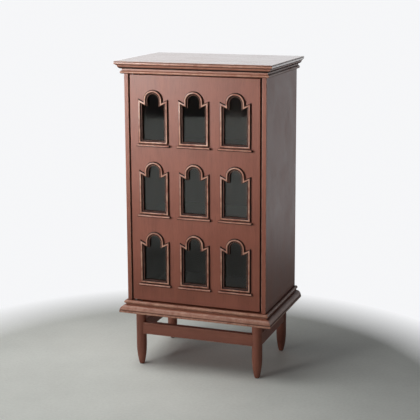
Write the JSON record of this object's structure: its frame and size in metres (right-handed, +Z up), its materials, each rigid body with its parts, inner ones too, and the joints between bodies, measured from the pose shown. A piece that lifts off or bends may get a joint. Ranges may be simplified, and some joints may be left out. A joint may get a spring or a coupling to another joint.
{
  "type": "carved cabinet",
  "caption": "Tall stained-wood cabinet on turned legs, its single door carrying rows of arched glazed windows, with stepped crown and base mouldings.",
  "frame": {"origin": "on the floor, below the middle of the crown board", "axes": "+X to the viewer's right, +Y towards the back, +Z up"},
  "size_m": [0.62, 0.43, 1.2],
  "materials": {
    "case_wood": "stained and waxed",
    "door_wood": "stained and waxed",
    "window_wood": "stained and waxed",
    "moulding_wood": "stained and waxed",
    "leg_wood": "stained and waxed",
    "inner_wood": "stained and waxed",
    "glass": "clear",
    "steel": "zinc plated",
    "spring_steel": "drawn wire",
    "brown_plastic": "moulded"
  },
  "bodies": {
    "cabinet": {"back_panel": "inner_wood", "base_board": "moulding_wood", "base_moulding_front": "moulding_wood", "base_moulding_left": "moulding_wood", "base_moulding_right": "moulding_wood", "bottom_board": "inner_wood", "cabinet_pivot_plates": "steel", "catch_body": "brown_plastic", "catch_spring": "spring_steel", "crown_board": "moulding_wood", "crown_moulding_front": "moulding_wood", "crown_moulding_left": "moulding_wood", "crown_moulding_right": "moulding_wood", "foot_glides": "brown_plastic", "head_rail": "inner_wood", "leg_back_left": "leg_wood", "leg_back_right": "leg_wood", "leg_bolts": "steel", "leg_front_left": "leg_wood", "leg_front_right": "leg_wood", "leg_plates": "steel", "pivot_pins": "steel", "rail_back": "leg_wood", "rail_dowels": "inner_wood", "rail_front": "leg_wood", "rail_left": "leg_wood", "rail_right": "leg_wood", "shelf_lower": "inner_wood", "shelf_pins": "steel", "shelf_upper": "inner_wood", "side_panel_left": "case_wood", "side_panel_right": "case_wood", "toe_rail": "inner_wood", "top_panel": "inner_wood"},
    "door": {"door_panel": "door_wood", "door_pivot_plates": "steel", "glass_beads": "inner_wood", "glass_bottom": "glass", "glass_middle": "glass", "glass_top": "glass", "strike_plate": "steel", "window_moulding_r1_c1": "window_wood", "window_moulding_r1_c2": "window_wood", "window_moulding_r1_c3": "window_wood", "window_moulding_r2_c1": "window_wood", "window_moulding_r2_c2": "window_wood", "window_moulding_r2_c3": "window_wood", "window_moulding_r3_c1": "window_wood", "window_moulding_r3_c2": "window_wood", "window_moulding_r3_c3": "window_wood", "window_sill_r1_c1": "window_wood", "window_sill_r1_c2": "window_wood", "window_sill_r1_c3": "window_wood", "window_sill_r2_c1": "window_wood", "window_sill_r2_c2": "window_wood", "window_sill_r2_c3": "window_wood", "window_sill_r3_c1": "window_wood", "window_sill_r3_c2": "window_wood", "window_sill_r3_c3": "window_wood"},
    "catch_plunger": {"catch_plunger": "brown_plastic"}
  },
  "joints": [
    {"name": "door_hinge", "type": "hinge", "parent": "cabinet", "child": "door", "pos_m": [-0.248, -0.179, 0.266], "axis": [0, 0, -1], "range_deg": [0, 105]},
    {"name": "catch_press", "type": "slide", "parent": "cabinet", "child": "catch_plunger", "axis": [0, 1, 0], "range_m": [0, 0.003], "stiffness_N_per_m": 200, "springref_m": -0.005}
  ]
}
